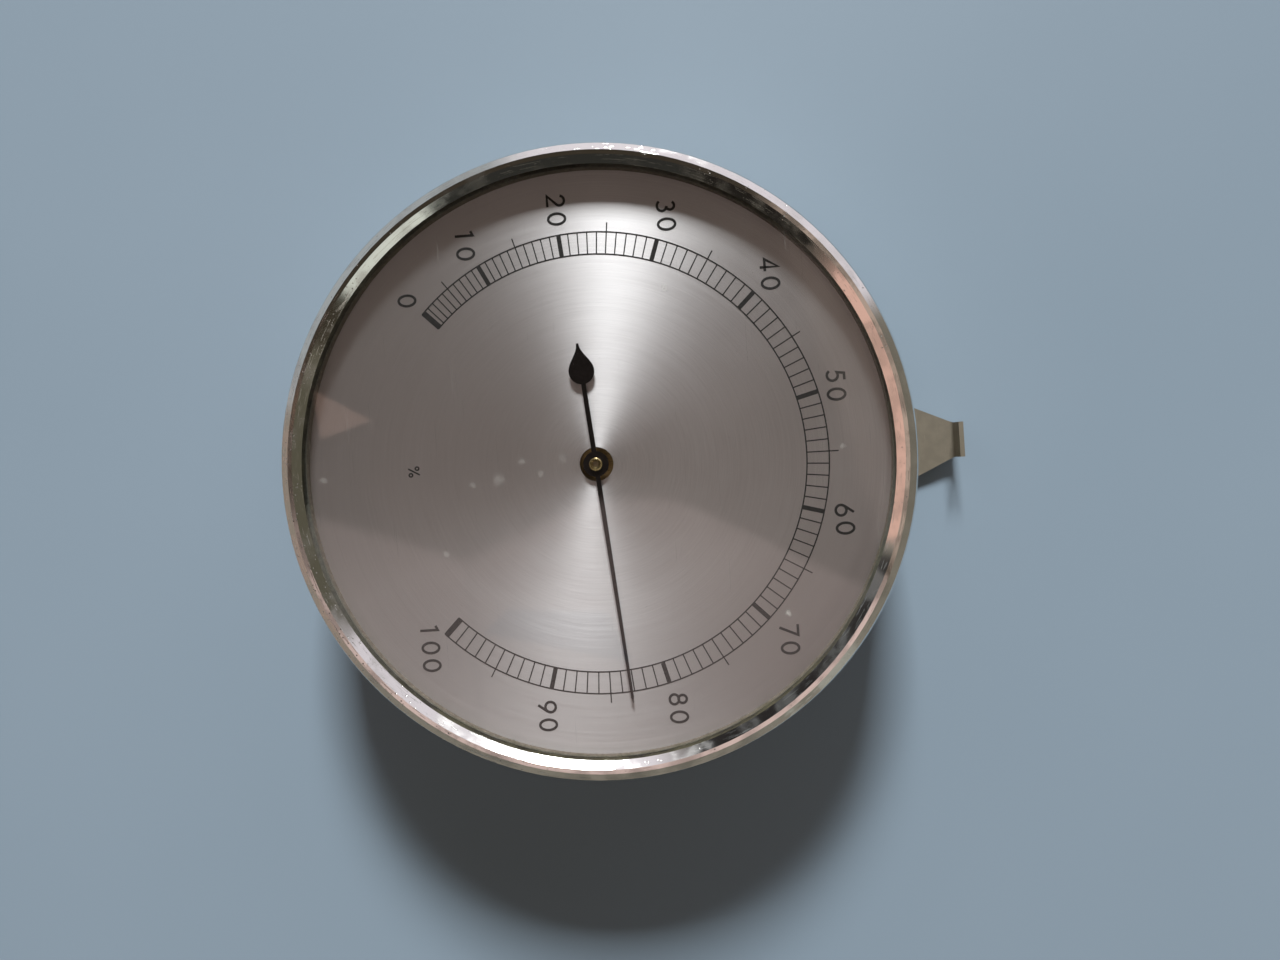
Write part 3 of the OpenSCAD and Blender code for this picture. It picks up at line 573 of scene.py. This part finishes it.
# Strokes of each figure, with whether the stroke is closed
GLYPHS = {
    "0": [(bow(0, 0, 0.87, 1.39, 0, 360, 40)[:-1], True)],
    "1": [([(-0.72, 1.02), (0.0, 1.36), (0.0, -1.6)], False)],
    "2": [(bow(0, 0.62, 0.78, 0.78, 172, -32, 16) + [(-0.86, -1.39), (0.92, -1.39)], False)],
    "3": [(bow(-0.02, 0.72, 0.66, 0.68, 150, -75, 16), False),
          (bow(-0.06, -0.62, 0.84, 0.78, 84, -150, 18), False)],
    "4": [([(0.32, -1.6), (0.32, 1.35), (-0.98, -0.8), (0.95, -0.8)], False)],
    "5": [([(0.66, 1.39), (-0.42, 1.39), (-0.6, 0.22)] + bow(-0.12, -0.5, 0.86, 0.88, 112, -146, 18)[1:],
           False)],
    "6": [(bow(0, -0.54, 0.86, 0.86, 0, 360, 32)[:-1], True),
          ([(0.42, 1.5), (-0.62, 0.12), (-0.84, -0.4)], False)],
    "7": [([(-0.9, 1.39), (0.86, 1.39), (-0.5, -1.6)], False)],
    "8": [(bow(0, 0.7, 0.66, 0.68, 0, 360, 28)[:-1], True),
          (bow(0, -0.66, 0.82, 0.76, 0, 360, 28)[:-1], True)],
    "9": [(bow(0, 0.54, 0.86, 0.86, 0, 360, 32)[:-1], True),
          ([(0.84, 0.4), (0.62, -0.12), (-0.42, -1.5)], False)],
    "%": [(bow(-0.52, 0.55, 0.27, 0.3, 0, 360, 16)[:-1], True),
          (bow(0.52, -0.55, 0.27, 0.3, 0, 360, 16)[:-1], True),
          ([(-0.55, -0.95), (0.55, 0.95)], False)],
}
# Pixels at the middle of each numeral
NUMERALS = {
    0: (407, 301), 10: (465, 245), 20: (556, 210), 30: (666, 215), 40: (770, 274), 50: (836, 385),
    60: (845, 519), 70: (790, 639), 80: (679, 708), 90: (548, 716), 100: (431, 648),
}
SIGN_PX, SIGN_STROKE = (414, 472), 0.24


def write(text, px, stroke, name, ink):
    """A numeral or sign, its middle at a pixel of the picture."""
    b = Builder()
    cx, cy = on_plane(*px, DIAL_TOP)
    for i, ch in enumerate(text):
        shift = (i - (len(text) - 1) / 2) * PITCH
        for k, (path, closed) in enumerate(GLYPHS[ch]):
            moved = [(cx + shift + x, cy + y) for x, y in path]
            b.ribbon(*band(moved, stroke, closed), DIAL_TOP, DIAL_TOP + INK - BELOW_STROKE * k, closed)
    b.piece(name, ink, "case")


def make_print(ink):
    """The scale's two arcs and its strokes, the numerals and the unit."""
    b = Builder()
    low, high = DIAL_TOP, DIAL_TOP + INK
    first, last = scale_angle(0), scale_angle(100)
    edge = math.degrees(BAR_W / 2 / ARC_OUT)
    sweep = last - first + 2 * edge
    for r in (ARC_IN, ARC_OUT):
        path = [on_dial(first - edge + sweep * i / ARC_STEPS, r) for i in range(ARC_STEPS + 1)]
        b.ribbon(*band(path, LINE_W), low, high)
    for value in range(101):
        a = scale_angle(value)
        wide = END_W if value in (0, 100) else BAR_W if value % 10 == 0 else TICK_W
        end = FIVE_OUT if value % 10 == 5 else ARC_OUT
        b.ribbon(*band([on_dial(a, ARC_IN), on_dial(a, end)], wide), low, high - BELOW_ARC)
    b.piece("printed_scale", ink, "case")
    for value, px in NUMERALS.items():
        write(str(value), px, STROKE, "numeral_%d" % value, ink)
    write("%", SIGN_PX, SIGN_STROKE, "percent_sign", ink)


# The hair bundle: strands, radius and sides of one, radius of the bundle, and the steps along it
STRANDS, STRAND_R, STRAND_SIDES, BUNDLE_R, HAIR_STEPS = 34, 0.04, 5, 0.30, 24
# Turn from one strand to the next, slack of a strand, swelling of the bundle halfway, and lean in radians
STRAND_TURN, SLACK, SWELL, LEAN = 0.618, 0.04, 0.18, 0.25


def make_hair(m):
    """Separate strands, close together at the ends and a little slack between."""
    chance = random.Random(7)
    low, high = (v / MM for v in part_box("hair_bundle"))
    x, z = (low.x + high.x) / 2, (low.z + high.z) / 2
    b = Builder()
    for k in range(STRANDS):
        a, r = math.tau * (k * STRAND_TURN % 1), BUNDLE_R * math.sqrt((k + 0.5) / STRANDS)
        slack, phase = chance.uniform(-SLACK, SLACK), chance.uniform(0, math.tau)
        waves = chance.choice((2, 3, 4))
        path = []
        for i in range(HAIR_STEPS + 1):
            t = i / HAIR_STEPS
            middle = math.sin(math.pi * t)
            out = r * (1 - SWELL + SWELL * middle) + slack * middle
            lean = a + LEAN * middle * math.sin(waves * math.pi * t + phase)
            path.append((x + out * math.cos(lean), low.y + (high.y - low.y) * t, z + out * math.sin(lean)))
        b.tube(path, STRAND_R, STRAND_SIDES)
    hair = b.piece("hair_strands", m, "case", smooth=True)
    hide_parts("hair_bundle")


def dress_parts():
    set_material(dial_metal(), "dial")
    set_material(old_glass(), "crystal")
    set_material(bezel_chrome(), "bezel")
    set_material(metal("case_sheet", (0.40, 0.39, 0.37), (0.49, 0.48, 0.45), (0.35, 0.5), scratch=0.15),
                 "case")
    set_material(paint("spacer_aged", (0.11, 0.085, 0.062), (0.18, 0.145, 0.11), 0.7, 2.0, specks=0.5),
                 "spacer_ring")
    set_material(paint("gasket_rubber_grey", (0.10, 0.095, 0.08), (0.16, 0.15, 0.12), 0.7, 1.4),
                 "crystal_gasket")
    set_material(metal("hanger_aged", (0.23, 0.198, 0.148), (0.265, 0.23, 0.172), (0.5, 0.6), metallic=0.35,
                       scratch=0.5), "hanger")
    set_material(metal("movement_brass", (0.62, 0.45, 0.20), (0.72, 0.54, 0.27), (0.25, 0.4), grain_turn=12),
                 "mainplate", "bridge", "sector_gear", "hair_crank", "calibration_lever")
    set_material(turned_metal("brass_turned", (0.66, 0.49, 0.23), (0.78, 0.60, 0.31), (0.15, 0.28)),
                 "pillars", "arbor_rear_bush", "arbor_front_bush", "pinion", "pointer_bush",
                 "hairspring_collet", "hairspring_stud", "sector_rear_bush", "sector_front_bush",
                 "sector_collet", "lower_hair_clamp", "upper_hair_clamp", "adjusting_screw")
    set_material(turned_metal("steel_bright", (0.45, 0.45, 0.45), (0.58, 0.58, 0.57), (0.2, 0.35)),
                 "sector_arbor", "crank_pin", "hair_anchor_pin", "lever_stud")
    set_material(turned_metal("steel_tarnished", (0.20, 0.15, 0.10), (0.32, 0.26, 0.18), (0.3, 0.45)),
                 "pointer_arbor")
    set_material(metal("steel_blue", (0.03, 0.04, 0.09), (0.06, 0.07, 0.14), (0.2, 0.35)),
                 "pillar_screws", "bridge_screws")
    set_material(metal("steel_zinc", (0.45, 0.45, 0.43), (0.6, 0.59, 0.56), (0.3, 0.45)),
                 "hanger_rivets", "case_screws", "case_nuts", "adjuster_washer")
    set_material(metal("spring_metal", (0.5, 0.33, 0.16), (0.6, 0.42, 0.22), (0.2, 0.3)), "hairspring")
    set_material(paint("pointer_lacquer", (0.004, 0.002, 0.002), (0.009, 0.006, 0.006), 0.35, 2.0, coat=0.1,
                       shine=0.2), "pointer")


make_camera()
make_table()
make_lamps()
make_room()
dress_parts()
make_print(paint("printing_ink", (0.012, 0.010, 0.010), (0.03, 0.026, 0.025), 0.5, 3.0))
make_hair(hair_fibre())

bpy.context.scene.view_settings.view_transform = "Standard"
